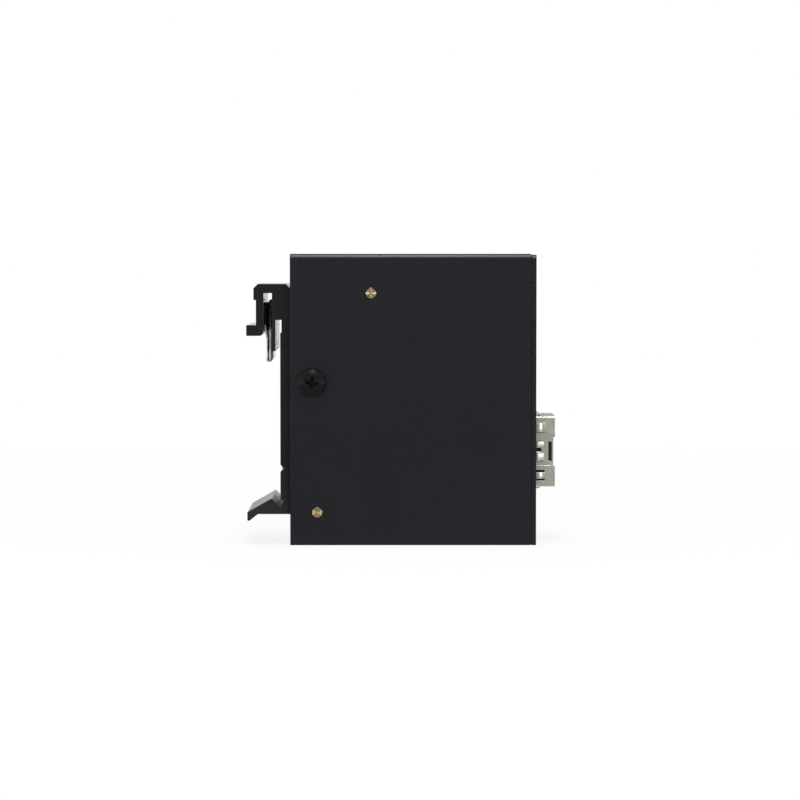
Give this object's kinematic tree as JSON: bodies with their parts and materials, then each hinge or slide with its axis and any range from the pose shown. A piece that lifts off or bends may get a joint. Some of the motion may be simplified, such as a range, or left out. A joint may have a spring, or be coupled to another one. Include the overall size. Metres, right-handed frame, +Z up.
{
  "type": "industrial media converter",
  "caption": "Slim folded-steel media converter with a shielded network socket, an optical module port, a top power terminal and an extruded clip for a 35 mm DIN rail.",
  "frame": {"origin": "under the middle of the bounding box, on the plane of the case's bottom edge", "axes": "+X from the rail clip towards the ports, +Z up when clipped on a horizontal rail, -Y out of the side wall that shows the screw and the standoff ends"},
  "size_m": [0.0672, 0.031, 0.063],
  "materials": {
    "case_paint": "satin charcoal powder coat with a fine orange-peel texture",
    "black_screw": "black oxide",
    "zinc_steel": "bright zinc plate",
    "clip_black": "black anodised extrusion with fine draw lines",
    "spring_steel": "bright rolled spring strip",
    "turned_brass": "faced on a lathe",
    "board_laminate": "green solder mask",
    "nickel_shield": "nickel-plated sheet",
    "insert_plastic": "moulded, fine texture",
    "contact_gold": "gold flash",
    "light_clear": "clear moulding",
    "lamp_white": "white package",
    "terminal_plastic": "moulded, fine texture",
    "tin_plate": "bright tin plate",
    "package_black": "moulded epoxy",
    "ferrite_grey": "pressed ferrite",
    "capacitor_can": "drawn can with a dark polarity stripe"
  },
  "bodies": {
    "root": {"board_screws": "zinc_steel", "capacitors": "capacitor_can", "chassis": "case_paint", "circuit_board": "board_laminate", "clip_nuts": "zinc_steel", "clip_screws": "zinc_steel", "clip_spring": "spring_steel", "converter_chip": "package_black", "cover": "case_paint", "cover_screws": "black_screw", "crystal": "tin_plate", "flange_nuts": "zinc_steel", "jack_contacts": "contact_gold", "jack_insert": "insert_plastic", "jack_shield": "nickel_shield", "lan_transformer": "package_black", "light_pipe": "light_clear", "optics_cage": "nickel_shield", "optics_socket": "insert_plastic", "power_inductor": "ferrite_grey", "rail_clip": "clip_black", "regulator": "package_black", "standoffs": "turned_brass", "status_lamps": "lamp_white", "terminal_block": "terminal_plastic", "terminal_clamps": "tin_plate", "terminal_screws": "zinc_steel"}
  },
  "joints": []
}
